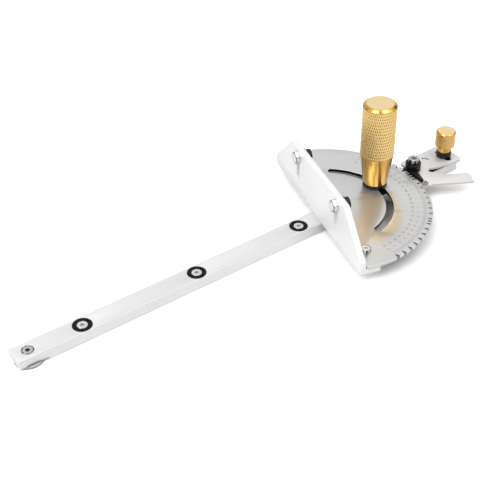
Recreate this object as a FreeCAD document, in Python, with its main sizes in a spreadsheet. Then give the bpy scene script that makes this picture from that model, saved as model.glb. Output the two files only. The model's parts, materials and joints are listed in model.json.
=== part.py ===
import FreeCAD, Part
import math
import os
import re
import Sketcher

Vector = FreeCAD.Vector

# A miter gauge: a guide bar, a notched protractor head with a fence bracket,
# a clamping handle, and an indexing lever whose tooth drops into the notches.
# The origin is the head's pivot axis on the underside of the bar, +X is the
# feed direction and +Z is up. Angles on the head are measured from -X to +Y.

doc = FreeCAD.newDocument("MiterGauge")
sheet = doc.addObject("Spreadsheet::Sheet", "Sizes")

SIZES = {
    # guide bar
    "bar_width": 19.0,
    "bar_thick": 9.5,
    "bar_length": 445.0,
    "bar_front": 298.5,
    "bar_bevel": 0.5,
    "blind_floor": 1.5,
    # expanding discs let into the bar
    "disc_first": 32.5,
    "disc_pitch": 104.3,
    "disc_diameter": 15.8,
    "disc_thick": 6.0,
    "disc_fit": 0.1,
    "disc_slit": 0.9,
    "expander_head": 8.8,
    "expander_shank": 5.0,
    "expander_taper": 3.0,
    "expander_key": 3.0,
    "key_floor": 1.2,
    # retaining washer under the front end
    "washer_place": 286.9,
    "washer_diameter": 23.2,
    "recess_gap": 0.3,
    "recess_depth": 2.6,
    "floor_gap": 0.1,
    "end_head": 10.0,
    "end_shank": 5.0,
    "end_key": 3.0,
    # head: turned from square, as it is set
    "head_angle": 15.0,
    "swing_gap": 0.3,
    "foot_thick": 4.7,
    "plate_thick": 3.0,
    "plate_radius": 89.3,
    "plate_corner": 3.0,
    "pivot_shoulder": 8.0,
    "pivot_fit": 0.05,
    "pivot_thread": 6.0,
    "pivot_head": 14.0,
    "pivot_head_height": 3.4,
    "pivot_key": 4.0,
    "pivot_play": 0.2,
    # notches in the rim
    "scale_offset": 15.0,
    "scale_span": 120.0,
    "notch_count": 25.0,
    "notch_extra": 22.5,
    "notch_depth": 3.0,
    "notch_bottom": 0.6,
    "notch_mouth": 3.2,
    # arc slot for the clamping stud
    "slot_radius": 52.8,
    "slot_width": 6.5,
    "slot_half_angle": 62.5,
    # fence bracket
    "fence_inset": 0.8,
    "fence_top": 54.5,
    "fence_wall": 5.0,
    "fence_face": 12.1,
    "foot_depth": 18.0,
    "fence_chamfer": 35.0,
    "fence_corner": 6.0,
    "slot_spread": 39.0,
    "slot_low": 27.0,
    "slot_high": 47.0,
    "fence_slot_width": 6.6,
    # screws that hold the plate to the foot
    "plate_screw_inset": 19.0,
    "plate_screw_back": 1.5,
    "plate_screw_head": 8.5,
    "plate_screw_height": 2.9,
    "plate_screw_thread": 5.0,
    "plate_screw_key": 3.0,
    "thread_fit": 0.05,
    # bolts for a sub-fence
    "bolt_height": 46.0,
    "bolt_thread": 6.0,
    "bolt_flats": 10.0,
    "bolt_head": 4.0,
    "bolt_end": 0.6,
    "fence_washer_diameter": 14.0,
    "fence_washer_thick": 1.6,
    "nut_thick": 5.0,
    # clamping handle
    "stud_thread": 6.0,
    "stud_bore_fit": 0.05,
    "stud_reach": 25.0,
    "lift_gap": 0.3,
    "handle_washer_diameter": 21.4,
    "handle_washer_thick": 3.4,
    "handle_base": 21.2,
    "handle_diameter": 29.4,
    "handle_taper_end": 51.0,
    "handle_top": 99.5,
    "handle_top_flat": 24.0,
    "handle_top_bevel": 2.0,
    # black strip on the bar that the head and the lever slide on
    "strip_start": 32.0,
    "strip_short": 1.8,
    "strip_tail": 46.5,
    "strip_thin": 2.4,
    "strip_inset": 0.2,
    # indexing lever
    "pivot_offset": 9.7,
    "index_angle": 15.0,
    "lever_open": 6.5,
    "lever_thick": 2.0,
    "lever_gap": 0.3,
    "lever_front": 2.5,
    "leg_half": 15.3,
    "leg_reach": 48.5,
    "leg_corner": 4.0,
    "leg_mouth": 14.8,
    "leg_mid_reach": 22.5,
    "leg_mid": 11.2,
    "slit_reach": 12.5,
    "slit_far": 7.7,
    "slit_root": 9.2,
    "slit_near": 11.4,
    "slit_round": 1.2,
    "arm_angle": 30.0,
    "arm_near": 25.4,
    "arm_far": 11.3,
    "arm_reach": 50.0,
    "arm_start": 28.4,
    "arm_heel": 12.0,
    "arm_chamfer": 3.0,
    "finger_set": 1.2,
    # pawl that carries the index tooth, riveted on the lever
    "pawl_gap": 0.4,
    "pawl_back": 2.5,
    "pawl_toe": 2.0,
    "pawl_inner": 8.0,
    "pawl_half": 1.3,
    "pawl_end_gap": 1.4,
    "pawl_rivet": 4.2,
    "tooth_tip": 0.6,
    "tooth_clear": 0.6,
    "tooth_half": 2.0,
    "tooth_flank": 24.0,
    "tooth_length": 6.4,
    "tooth_rivet": 4.4,
    "tooth_top_gap": 0.3,
    "rivet_diameter": 1.6,
    "rivet_low_x": 5.5,
    "rivet_low_y": 10.2,
    # pivot of the lever
    "bush_diameter": 9.0,
    "collar_diameter": 13.9,
    "collar_height": 4.7,
    "index_thread": 6.0,
    "index_head": 10.0,
    "index_head_height": 6.0,
    "index_head_proud": 4.4,
    "index_key": 5.0,
    # locking knob of the lever
    "knob_reach": 38.5,
    "knob_thread": 6.0,
    "lock_half_angle": 9.0,
    "lock_slot_width": 6.6,
    "knob_spacer_diameter": 13.4,
    "knob_spacer_height": 6.0,
    "knob_neck": 12.7,
    "knob_neck_height": 4.8,
    "knob_diameter": 17.8,
    "knob_cone": 1.0,
    "knob_height": 20.6,
    "knob_top_bevel": 1.0,
    "knob_stud_reach": 15.0,
}

for row, (alias, number) in enumerate(SIZES.items(), start=1):
    sheet.set("A%d" % row, alias)
    sheet.set("B%d" % row, str(number))
    sheet.setAlias("B%d" % row, alias)
doc.recompute()


def linked(text):
    """Turns the names of sizes in a formula into references to the sheet."""
    def refer(match):
        word = match.group(0)
        return "Sizes." + word if word in SIZES else word
    return re.sub(r"[a-z][a-z_]+", refer, text)


def bind(item, prop, text):
    item.setExpression(prop, linked(text))


def new_body(label):
    body = doc.addObject("PartDesign::Body", label)
    body.Label = label
    return body


def plane_of(body, role):
    return next(p for p in body.Origin.OriginFeatures if p.Role == role)


def new_sketch(body, name, role, lift=None):
    """A sketch on one of the body's own planes, lifted along its normal if asked."""
    sketch = body.newObject("Sketcher::SketchObject", name)
    sketch.AttachmentSupport = [(plane_of(body, role), "")]
    sketch.MapMode = "FlatFace"
    if lift:
        bind(sketch, "AttachmentOffset.Base.z", lift)
    return sketch


def pin_point(sketch, geo, pos, x, y):
    """Holds one sketch point at two formulas, measured from the sketch's origin."""
    for kind, text, axis in (("DistanceX", x, -2), ("DistanceY", y, -1)):
        if text == "0":
            sketch.addConstraint(Sketcher.Constraint("PointOnObject", geo, pos, axis))
        else:
            index = sketch.addConstraint(Sketcher.Constraint(kind, -1, 1, geo, pos, 1.0))
            bind(sketch, "Constraints[%d]" % index, text)


def add_outline(sketch, points):
    """A closed run of straight lines through the points, each a pair of formulas."""
    count = len(points)
    ring = [Vector(10 * math.cos(2 * math.pi * i / count), 10 * math.sin(2 * math.pi * i / count), 0)
            for i in range(count)]
    first = sketch.GeometryCount
    for i in range(count):
        sketch.addGeometry(Part.LineSegment(ring[i], ring[(i + 1) % count]), False)
    for i in range(count):
        sketch.addConstraint(Sketcher.Constraint("Coincident", first + i, 2, first + (i + 1) % count, 1))
    for i, (x, y) in enumerate(points):
        pin_point(sketch, first + i, 1, x, y)


def add_circle(sketch, x, y, diameter):
    geo = sketch.addGeometry(Part.Circle(Vector(1, 1, 0), Vector(0, 0, 1), 1.0), False)
    index = sketch.addConstraint(Sketcher.Constraint("Diameter", geo, 2.0))
    bind(sketch, "Constraints[%d]" % index, diameter)
    pin_point(sketch, geo, 3, x, y)


def polar(radius, angle, across="0"):
    """A place at a radius and an angle from -X to +Y, moved across the radius."""
    return ("-(%s) * cos(%s) + (%s) * sin(%s)" % (radius, angle, across, angle),
            "(%s) * sin(%s) + (%s) * cos(%s)" % (radius, angle, across, angle))


def pad(body, sketch, length, middle=False):
    feature = body.newObject("PartDesign::Pad", sketch.Name + "_pad")
    feature.Profile = sketch
    bind(feature, "Length", length)
    feature.Midplane = middle
    sketch.Visibility = False
    doc.recompute()
    return feature


def volume_of(body):
    return body.Shape.Volume if not body.Shape.isNull() else 0.0


def must_cut(body, before, feature):
    if not volume_of(body) < before - 1e-6:
        raise RuntimeError("%s removed nothing from %s" % (feature.Name, body.Label))


def pocket(body, sketch, length, upward=False):
    before = volume_of(body)
    feature = body.newObject("PartDesign::Pocket", sketch.Name + "_cut")
    feature.Profile = sketch
    bind(feature, "Length", length)
    feature.Reversed = upward
    sketch.Visibility = False
    doc.recompute()
    must_cut(body, before, feature)
    return feature


def groove_about_z(body, sketch, angle):
    """Cuts a band that runs round the Z axis, centred on the sketch's plane."""
    before = volume_of(body)
    feature = body.newObject("PartDesign::Groove", sketch.Name + "_groove")
    feature.Profile = sketch
    feature.ReferenceAxis = (sketch, ["V_Axis"])
    feature.Midplane = True
    bind(feature, "Angle", angle)
    sketch.Visibility = False
    doc.recompute()
    must_cut(body, before, feature)
    return feature


def edges_where(body, test):
    """Names of the edges of the body's tip whose two ends pass the test."""
    found = []
    for i, edge in enumerate(body.Shape.Edges, start=1):
        ends = [v.Point for v in edge.Vertexes]
        if len(ends) == 2 and test(ends[0], ends[1]):
            found.append("Edge%d" % i)
    return found


def dress(body, kind, size_name, size, edges):
    base = body.Tip
    feature = body.newObject("PartDesign::" + kind, body.Name + "_" + kind.lower() + str(len(body.Group)))
    feature.Base = (base, edges)
    bind(feature, size_name, size)
    doc.recompute()
    return feature


def upright_at(x, y, reach=0.02):
    """A test for an edge that stands along Z at one place."""
    def test(a, b):
        same = abs(a.x - b.x) < reach and abs(a.y - b.y) < reach
        return same and abs(a.x - x) < reach and abs(a.y - y) < reach
    return test


def set_place(item, x, y, z, turn=None, down=False):
    """Places a piece. A turn is a formula in degrees about Z, or about -Z."""
    axis = Vector(0, 0, -1) if down else Vector(0, 0, 1)
    item.Placement = FreeCAD.Placement(Vector(0, 0, 0), FreeCAD.Rotation(axis, 1.0 if turn else 0.0))
    for prop, text in (("Placement.Base.x", x), ("Placement.Base.y", y), ("Placement.Base.z", z)):
        bind(item, prop, text)
    if turn:
        bind(item, "Placement.Rotation.Angle", turn)


def turned(label, profile):
    """A piece turned on a lathe: a closed profile of radius and height round Z."""
    body = new_body(label)
    sketch = new_sketch(body, label + "_profile", "XZ_Plane")
    add_outline(sketch, profile)
    feature = body.newObject("PartDesign::Revolution", label + "_turning")
    feature.Profile = sketch
    feature.ReferenceAxis = (sketch, ["V_Axis"])
    feature.Angle = 360
    sketch.Visibility = False
    doc.recompute()
    return body


def ring_profile(bore, outside, low, high):
    """Section of a plain washer or bush, from its two diameters and heights."""
    return [("(%s) / 2" % bore, low), ("(%s) / 2" % outside, low),
            ("(%s) / 2" % outside, high), ("(%s) / 2" % bore, high)]


def hexagon(across):
    """Corners of a hexagon with the given size across its flats."""
    return [("(%s) / sqrt(3) * cos(%d)" % (across, 60 * i), "(%s) / sqrt(3) * sin(%d)" % (across, 60 * i))
            for i in range(6)]


def key_socket(body, across, top, depth):
    sketch = new_sketch(body, body.Name + "_key", "XY_Plane", top)
    add_outline(sketch, hexagon(across))
    pocket(body, sketch, depth)


# Heights that several pieces share, as formulas.
FOOT_LOW = "bar_thick + swing_gap"
PLATE_LOW = "bar_thick + swing_gap + foot_thick"
PLATE_TOP = "bar_thick + swing_gap + foot_thick + plate_thick"
STRIP_TOP = "bar_thick + strip_thin"
LEVER_LOW = "bar_thick + strip_thin + lever_gap"
LEVER_TOP = "bar_thick + strip_thin + lever_gap + lever_thick"
PAWL_TOP = PLATE_TOP + " - tooth_top_gap"
BUSH_TOP = PLATE_TOP
SEAT_TOP = PLATE_TOP + " + lift_gap"
# Half the fence's length, and how far its two screws stand from the middle.
FENCE_HALF = "(plate_radius - fence_inset)"
SCREW_SPREAD = "(plate_radius - fence_inset - plate_screw_inset)"
# Where the pawl's arm ends beside the tooth, and where its shoulder is.
PAWL_END = "-(tooth_half + pawl_end_gap)"
PAWL_SHOULDER = "-(tooth_half + pawl_end_gap + pawl_toe)"
# Distances of the lever's pivot and of its knob from the head's pivot.
LEVER_AXIS = "(plate_radius + pivot_offset)"
KNOB_AXIS = "(plate_radius + pivot_offset + knob_reach)"


def disc_place(number):
    return "disc_first + %d * disc_pitch" % number


def make_bar():
    bar = new_body("miter_bar")
    outline = new_sketch(bar, "bar_outline", "XY_Plane")
    back = "bar_front - bar_length"
    add_outline(outline, [(back, "-bar_width / 2"), ("bar_front", "-bar_width / 2"),
                          ("bar_front", "bar_width / 2"), (back, "bar_width / 2")])
    pad(bar, outline, "bar_thick")
    half = SIZES["bar_width"] / 2
    long_edges = edges_where(bar, lambda a, b: abs(a.y - b.y) < 0.01 and abs(abs(a.y) - half) < 0.01
                             and abs(a.x - b.x) > SIZES["bar_length"] / 2)
    dress(bar, "Chamfer", "Size", "bar_bevel", long_edges)

    recess = new_sketch(bar, "front_recess", "XY_Plane")
    start = "washer_place - washer_diameter / 2 - recess_gap"
    add_outline(recess, [(start, "-bar_width"), ("bar_front + 1", "-bar_width"),
                         ("bar_front + 1", "bar_width"), (start, "bar_width")])
    pocket(bar, recess, "recess_depth", upward=True)

    seats = new_sketch(bar, "disc_seats", "XY_Plane", "bar_thick")
    for number in range(3):
        add_circle(seats, disc_place(number), "0", "disc_diameter + 2 * disc_fit")
    pocket(bar, seats, "disc_thick")
    threads = new_sketch(bar, "expander_threads", "XY_Plane", "bar_thick")
    for number in range(3):
        add_circle(threads, disc_place(number), "0", "expander_shank + 2 * thread_fit")
    pocket(bar, threads, "bar_thick - blind_floor")

    posts = new_sketch(bar, "post_threads", "XY_Plane", "bar_thick")
    add_circle(posts, "0", "0", "pivot_thread + 2 * thread_fit")
    add_circle(posts, "-slot_radius", "0", "stud_thread + 2 * thread_fit")
    add_circle(posts, "-" + LEVER_AXIS, "0", "index_thread + 2 * thread_fit")
    add_circle(posts, "-" + KNOB_AXIS, "0", "knob_thread + 2 * thread_fit")
    pocket(bar, posts, "bar_thick - blind_floor")

    before = volume_of(bar)
    sink = new_sketch(bar, "end_sink", "XZ_Plane")
    sink.AttachmentOffset = FreeCAD.Placement(Vector(0, 0, 0), FreeCAD.Rotation())
    bind(sink, "AttachmentOffset.Base.x", "washer_place")
    add_outline(sink, [("0", "0"), ("end_shank / 2 + thread_fit", "0"),
                       ("end_shank / 2 + thread_fit", "bar_thick - (end_head - end_shank) / 2"),
                       ("end_head / 2 + thread_fit", "bar_thick"),
                       ("end_head / 2 + thread_fit", "bar_thick + 1"), ("0", "bar_thick + 1")])
    cut = bar.newObject("PartDesign::Groove", "end_sink_groove")
    cut.Profile = sink
    cut.ReferenceAxis = (sink, ["V_Axis"])
    cut.Angle = 360
    sink.Visibility = False
    doc.recompute()
    must_cut(bar, before, cut)
    set_place(bar, "0", "0", "0")


def make_expander(number):
    name = "expander_disc_%d" % (number + 1)
    seat = "bar_thick - disc_thick"
    neck = "bar_thick - expander_taper"
    disc = turned(name, [("expander_shank / 2 + thread_fit", seat), ("disc_diameter / 2", seat),
                         ("disc_diameter / 2", "bar_thick"),
                         ("expander_head / 2 + thread_fit", "bar_thick"),
                         ("expander_shank / 2 + thread_fit", neck)])
    slit = new_sketch(disc, name + "_slit", "XY_Plane", "bar_thick")
    add_outline(slit, [("0", "-disc_slit / 2"), ("disc_diameter", "-disc_slit / 2"),
                       ("disc_diameter", "disc_slit / 2"), ("0", "disc_slit / 2")])
    pocket(disc, slit, "disc_thick")
    set_place(disc, disc_place(number), "0", "0", turn="210 - 5 * %d" % number)

    label = "expander_screw_%d" % (number + 1)
    screw = turned(label, [("0", "blind_floor"), ("expander_shank / 2", "blind_floor"),
                           ("expander_shank / 2", neck), ("expander_head / 2", "bar_thick"),
                           ("0", "bar_thick")])
    key_socket(screw, "expander_key", "bar_thick", "expander_taper - key_floor")
    set_place(screw, disc_place(number), "0", "0")


def make_front_end():
    washer = turned("retaining_washer",
                    ring_profile("end_shank + 2 * thread_fit", "washer_diameter",
                                 "floor_gap", "recess_depth"))
    set_place(washer, "washer_place", "0", "0")
    screw = turned("end_screw",
                   [("0", "2 * floor_gap"), ("end_shank / 2", "2 * floor_gap"),
                    ("end_shank / 2", "bar_thick - (end_head - end_shank) / 2"),
                    ("end_head / 2", "bar_thick"), ("0", "bar_thick")])
    key_socket(screw, "end_key", "bar_thick", "(end_head - end_shank) / 2 - key_floor")
    set_place(screw, "washer_place", "0", "0")


def make_head_pivot():
    seat = PLATE_TOP + " + pivot_play"
    crown = seat + " + pivot_head_height"
    screw = turned("pivot_screw",
                   [("0", "blind_floor"), ("pivot_thread / 2", "blind_floor"),
                    ("pivot_thread / 2", "bar_thick"), ("pivot_shoulder / 2", "bar_thick"),
                    ("pivot_shoulder / 2", seat), ("pivot_head / 2", seat),
                    ("pivot_head / 2", crown), ("0", crown)])
    key_socket(screw, "pivot_key", crown, "pivot_head_height - key_floor")
    set_place(screw, "0", "0", "0")


def notch_points(angle):
    """A notch open to the rim: a narrow flat bottom and two flanks."""
    flank = "((notch_mouth - notch_bottom) / 2 / notch_depth)"
    over = "(notch_mouth / 2 + %s)" % flank
    return [polar("plate_radius - notch_depth", angle, "-notch_bottom / 2"),
            polar("plate_radius - notch_depth", angle, "notch_bottom / 2"),
            polar("plate_radius + 1", angle, over),
            polar("plate_radius + 1", angle, "-" + over)]


def notch_series(plate, name, angle, span, count):
    """Cuts one notch and repeats it about Z, over a span that starts at an angle."""
    sketch = new_sketch(plate, name, "XY_Plane", PLATE_TOP)
    add_outline(sketch, notch_points(angle))
    cut = pocket(plate, sketch, "plate_thick")
    one = volume_of(plate)
    series = plate.newObject("PartDesign::PolarPattern", name + "_series")
    series.Originals = [cut]
    series.Axis = (sketch, ["N_Axis"])
    series.Reversed = True
    bind(series, "Angle", span)
    bind(series, "Occurrences", count)
    plate.Tip = series
    doc.recompute()
    must_cut(plate, one, series)


def make_protractor_plate():
    plate = new_body("protractor_plate")
    outline = new_sketch(plate, "plate_outline", "XY_Plane", PLATE_LOW)
    front = "fence_face - fence_wall"
    reach = SIZES["plate_radius"]
    front_x = SIZES["fence_face"] - SIZES["fence_wall"]
    arc = Part.ArcOfCircle(Part.Circle(Vector(0, 0, 0), Vector(0, 0, 1), reach), math.pi / 2, 3 * math.pi / 2)
    outline.addGeometry(arc, False)
    corners = [Vector(0, -reach, 0), Vector(front_x, -reach, 0),
               Vector(front_x, reach, 0), Vector(0, reach, 0)]
    for i in range(3):
        outline.addGeometry(Part.LineSegment(corners[i], corners[i + 1]), False)
    for link in (("Coincident", 0, 3, -1, 1), ("PointOnObject", 0, 1, -2), ("PointOnObject", 0, 2, -2),
                 ("Coincident", 0, 2, 1, 1), ("Coincident", 1, 2, 2, 1),
                 ("Coincident", 2, 2, 3, 1), ("Coincident", 3, 2, 0, 1)):
        outline.addConstraint(Sketcher.Constraint(*link))
    index = outline.addConstraint(Sketcher.Constraint("Radius", 0, reach))
    bind(outline, "Constraints[%d]" % index, "plate_radius")
    pin_point(outline, 1, 2, front, "-plate_radius")
    pin_point(outline, 2, 2, front, "plate_radius")
    pad(plate, outline, "plate_thick")
    corner_edges = [e for side in (-1, 1) for e in edges_where(plate, upright_at(front_x, side * reach))]
    dress(plate, "Fillet", "Radius", "plate_corner", corner_edges)

    band = new_sketch(plate, "slot_band", "XZ_Plane")
    add_outline(band, [("-slot_radius - slot_width / 2", PLATE_LOW + " - 1"),
                       ("-slot_radius + slot_width / 2", PLATE_LOW + " - 1"),
                       ("-slot_radius + slot_width / 2", PLATE_TOP + " + 1"),
                       ("-slot_radius - slot_width / 2", PLATE_TOP + " + 1")])
    groove_about_z(plate, band, "2 * slot_half_angle")
    ends = new_sketch(plate, "slot_ends", "XY_Plane", PLATE_TOP)
    for side in ("-", ""):
        x, y = polar("slot_radius", side + "slot_half_angle")
        add_circle(ends, x, y, "slot_width")
    pocket(plate, ends, "plate_thick")

    holes = new_sketch(plate, "plate_holes", "XY_Plane", PLATE_TOP)
    add_circle(holes, "0", "0", "pivot_shoulder + 2 * pivot_fit")
    for side in ("-", ""):
        add_circle(holes, "-plate_screw_back", side + SCREW_SPREAD,
                   "plate_screw_thread + 2 * thread_fit")
    pocket(plate, holes, "plate_thick")

    notch_series(plate, "rim_notch", "scale_offset - scale_span / 2", "scale_span", "notch_count")
    notch_series(plate, "half_notch", "scale_offset - notch_extra", "2 * notch_extra", "2")
    set_place(plate, "0", "0", "0", turn="head_angle", down=True)


def make_fence_bracket():
    fence = new_body("fence_bracket")
    section = new_sketch(fence, "angle_section", "XZ_Plane")
    inner = "fence_face - fence_wall"
    heel = "fence_face - foot_depth"
    add_outline(section, [(heel, FOOT_LOW), ("fence_face", FOOT_LOW), ("fence_face", "fence_top"),
                          (inner, "fence_top"), (inner, PLATE_LOW), (heel, PLATE_LOW)])
    pad(fence, section, "2 * " + FENCE_HALF, middle=True)
    top = SIZES["fence_top"]
    half = SIZES["plate_radius"] - SIZES["fence_inset"]
    ends = edges_where(fence, lambda a, b: abs(a.z - top) < 0.01 and abs(b.z - top) < 0.01
                       and abs(abs(a.y) - half) < 0.01 and abs(a.y - b.y) < 0.01)
    dress(fence, "Chamfer", "Size", "fence_chamfer", ends)
    across = SIZES["fence_wall"]
    slopes = edges_where(fence, lambda a, b: abs(a.y - b.y) < 0.01 and abs(a.z - b.z) < 0.01
                         and abs(abs(a.x - b.x) - across) < 0.01
                         and (abs(a.z - top) < 0.01 or abs(a.z - top + SIZES["fence_chamfer"]) < 0.01))
    dress(fence, "Fillet", "Radius", "fence_corner", slopes)

    rounds = new_sketch(fence, "slot_rounds", "YZ_Plane")
    for side in ("-", ""):
        for height in ("slot_low", "slot_high"):
            add_circle(rounds, side + "slot_spread", height, "fence_slot_width")
    pocket(fence, rounds, "fence_face", upward=True)
    flats = new_sketch(fence, "slot_flats", "YZ_Plane")
    for side in ("-", ""):
        low_y = "%sslot_spread - fence_slot_width / 2" % side
        high_y = "%sslot_spread + fence_slot_width / 2" % side
        add_outline(flats, [(low_y, "slot_low"), (high_y, "slot_low"),
                            (high_y, "slot_high"), (low_y, "slot_high")])
    pocket(fence, flats, "fence_face", upward=True)

    holes = new_sketch(fence, "foot_holes", "XY_Plane", PLATE_LOW)
    add_circle(holes, "0", "0", "pivot_shoulder + 2 * pivot_fit")
    for side in ("-", ""):
        add_circle(holes, "-plate_screw_back", side + SCREW_SPREAD,
                   "plate_screw_thread + 2 * thread_fit")
    pocket(fence, holes, "foot_thick")
    set_place(fence, "0", "0", "0", turn="head_angle", down=True)


def on_head(x, y):
    """A place given along and across the head, turned with it."""
    return ("(%s) * cos(head_angle) + (%s) * sin(head_angle)" % (x, y),
            "-(%s) * sin(head_angle) + (%s) * cos(head_angle)" % (x, y))


def make_plate_screw(label, side):
    crown = PLATE_TOP + " + plate_screw_height"
    screw = turned(label, [("0", FOOT_LOW + " + 0.5"), ("plate_screw_thread / 2", FOOT_LOW + " + 0.5"),
                           ("plate_screw_thread / 2", PLATE_TOP), ("plate_screw_head / 2", PLATE_TOP),
                           ("plate_screw_head / 2", crown), ("0", crown)])
    key_socket(screw, "plate_screw_key", crown, "plate_screw_height - key_floor")
    x, y = on_head("-plate_screw_back", side + SCREW_SPREAD)
    set_place(screw, x, y, "0")


def hex_piece(body, name, across, low, high):
    sketch = new_sketch(body, name, "XY_Plane", low)
    add_outline(sketch, hexagon(across))
    pad(body, sketch, "(%s) - (%s)" % (high, low))


def lay_along_fence_axis(item, side):
    """Lays a piece built up Z so that its Z points out of the fence's face."""
    x, y = on_head("fence_face", side + "slot_spread")
    for prop, text in (("Placement.Base.x", x), ("Placement.Base.y", y), ("Placement.Base.z", "bolt_height")):
        bind(item, prop, text)


def make_fence_clamp(where, side):
    """A hexagon-headed bolt through a fence slot, with its washer and nut behind."""
    turn = FreeCAD.Rotation(Vector(0, 0, -1), SIZES["head_angle"])
    out = turn.multiply(FreeCAD.Rotation(Vector(0, 1, 0), 90))
    nut_face = "-fence_wall - fence_washer_thick"
    bolt = new_body("fence_bolt_" + where)
    bolt.Placement = FreeCAD.Placement(Vector(0, 0, 0), out)
    hex_piece(bolt, "bolt_head_" + where, "bolt_flats", "0", "bolt_head")
    shank = new_sketch(bolt, "bolt_shank_" + where, "XY_Plane", nut_face + " - nut_thick - bolt_end")
    add_circle(shank, "0", "0", "bolt_thread")
    pad(bolt, shank, "fence_wall + fence_washer_thick + nut_thick + bolt_end")
    lay_along_fence_axis(bolt, side)

    washer = turned("fence_washer_" + where,
                    ring_profile("bolt_thread + 2 * thread_fit", "fence_washer_diameter",
                                 nut_face, "-fence_wall"))
    washer.Placement = FreeCAD.Placement(Vector(0, 0, 0), out)
    lay_along_fence_axis(washer, side)

    nut = new_body("fence_nut_" + where)
    nut.Placement = FreeCAD.Placement(Vector(0, 0, 0), out)
    hex_piece(nut, "nut_hexagon_" + where, "bolt_flats", nut_face + " - nut_thick", nut_face)
    bore = new_sketch(nut, "nut_bore_" + where, "XY_Plane", nut_face)
    add_circle(bore, "0", "0", "bolt_thread + 2 * thread_fit")
    pocket(nut, bore, "nut_thick")
    lay_along_fence_axis(nut, side)


def make_handle():
    seat = SEAT_TOP
    base = SEAT_TOP + " + handle_washer_thick"
    stud_top = base + " + stud_reach"
    washer = turned("handle_washer",
                    ring_profile("stud_thread + 2 * stud_bore_fit", "handle_washer_diameter", seat, base))
    set_place(washer, "-slot_radius", "0", "0")
    stud = turned("handle_stud", [("0", "blind_floor"), ("stud_thread / 2", "blind_floor"),
                                  ("stud_thread / 2", stud_top), ("0", stud_top)])
    set_place(stud, "-slot_radius", "0", "0")
    bore = "stud_thread / 2 + stud_bore_fit"
    hold = stud_top + " + lift_gap"
    grip = turned("handle_grip",
                  [(bore, base), ("handle_base / 2", base), ("handle_diameter / 2", "handle_taper_end"),
                   ("handle_diameter / 2", "handle_top - handle_top_bevel"),
                   ("handle_top_flat / 2", "handle_top"), ("0", "handle_top"),
                   ("0", hold), (bore, hold)])
    set_place(grip, "-slot_radius", "0", "0")


def make_glide_strip():
    """A strip on the bar: thick under the plate, thin under the lever."""
    strip = new_body("glide_strip")
    half = "(bar_width / 2 - strip_inset)"
    step = "(plate_radius - strip_short)"
    runs = ((step, "strip_thin", "strip_thin_part", "(%s + strip_tail)" % LEVER_AXIS),
            ("strip_start", "foot_thick", "strip_thick_part", step))
    for near, thick, name, far in runs:
        outline = new_sketch(strip, name, "XY_Plane", "bar_thick")
        add_outline(outline, [("-" + far, "-" + half), ("-" + near, "-" + half),
                              ("-" + near, half), ("-" + far, half)])
        pad(strip, outline, thick)
    holes = new_sketch(strip, "strip_holes", "XY_Plane", "bar_thick + foot_thick")
    add_circle(holes, "-slot_radius", "0", "stud_thread + 2 * thread_fit")
    add_circle(holes, "-" + LEVER_AXIS, "0", "index_thread + 2 * thread_fit")
    add_circle(holes, "-" + KNOB_AXIS, "0", "knob_thread + 2 * thread_fit")
    pocket(strip, holes, "foot_thick")
    set_place(strip, "0", "0", "0")


def make_lever_pivot():
    bush = turned("index_bush",
                  ring_profile("index_thread + 2 * thread_fit", "bush_diameter", STRIP_TOP, BUSH_TOP))
    set_place(bush, "-" + LEVER_AXIS, "0", "0")
    rim = BUSH_TOP + " + collar_height"
    under_head = rim + " + index_head_proud - index_head_height"
    collar = turned("index_collar",
                    [("index_thread / 2 + thread_fit", BUSH_TOP), ("collar_diameter / 2", BUSH_TOP),
                     ("collar_diameter / 2", rim), ("index_head / 2 + thread_fit", rim),
                     ("index_head / 2 + thread_fit", under_head),
                     ("index_thread / 2 + thread_fit", under_head)])
    set_place(collar, "-" + LEVER_AXIS, "0", "0")
    crown = rim + " + index_head_proud"
    screw = turned("index_screw",
                   [("0", "blind_floor"), ("index_thread / 2", "blind_floor"),
                    ("index_thread / 2", under_head), ("index_head / 2", under_head),
                    ("index_head / 2", crown), ("0", crown)])
    key_socket(screw, "index_key", crown, "index_head_height - 2 * key_floor")
    set_place(screw, "-" + LEVER_AXIS, "0", "0")


def tooth_rest(along, across):
    """A place in the lever's frame, given from the tooth's tip, outward and across.

    The tip is set in the notch first, and then swung out with the lever."""
    tip_x = "(" + LEVER_AXIS + " - (plate_radius - notch_depth + tooth_clear) * cos(index_angle))"
    tip_y = "((plate_radius - notch_depth + tooth_clear) * sin(index_angle))"
    out_x = "(%s - (%s) * cos(index_angle) + (%s) * sin(index_angle))" % (tip_x, along, across)
    out_y = "(%s + (%s) * sin(index_angle) + (%s) * cos(index_angle))" % (tip_y, along, across)
    return ("%s * cos(lever_open) - %s * sin(lever_open)" % (out_x, out_y),
            "%s * sin(lever_open) + %s * cos(lever_open)" % (out_x, out_y))


def arm_point(along, aside):
    """A place on the lever's arm, along it and aside from the pivot."""
    return ("-(%s) * cos(arm_angle) + (%s) * sin(arm_angle)" % (along, aside),
            "(%s) * sin(arm_angle) + (%s) * cos(arm_angle)" % (along, aside))


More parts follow.
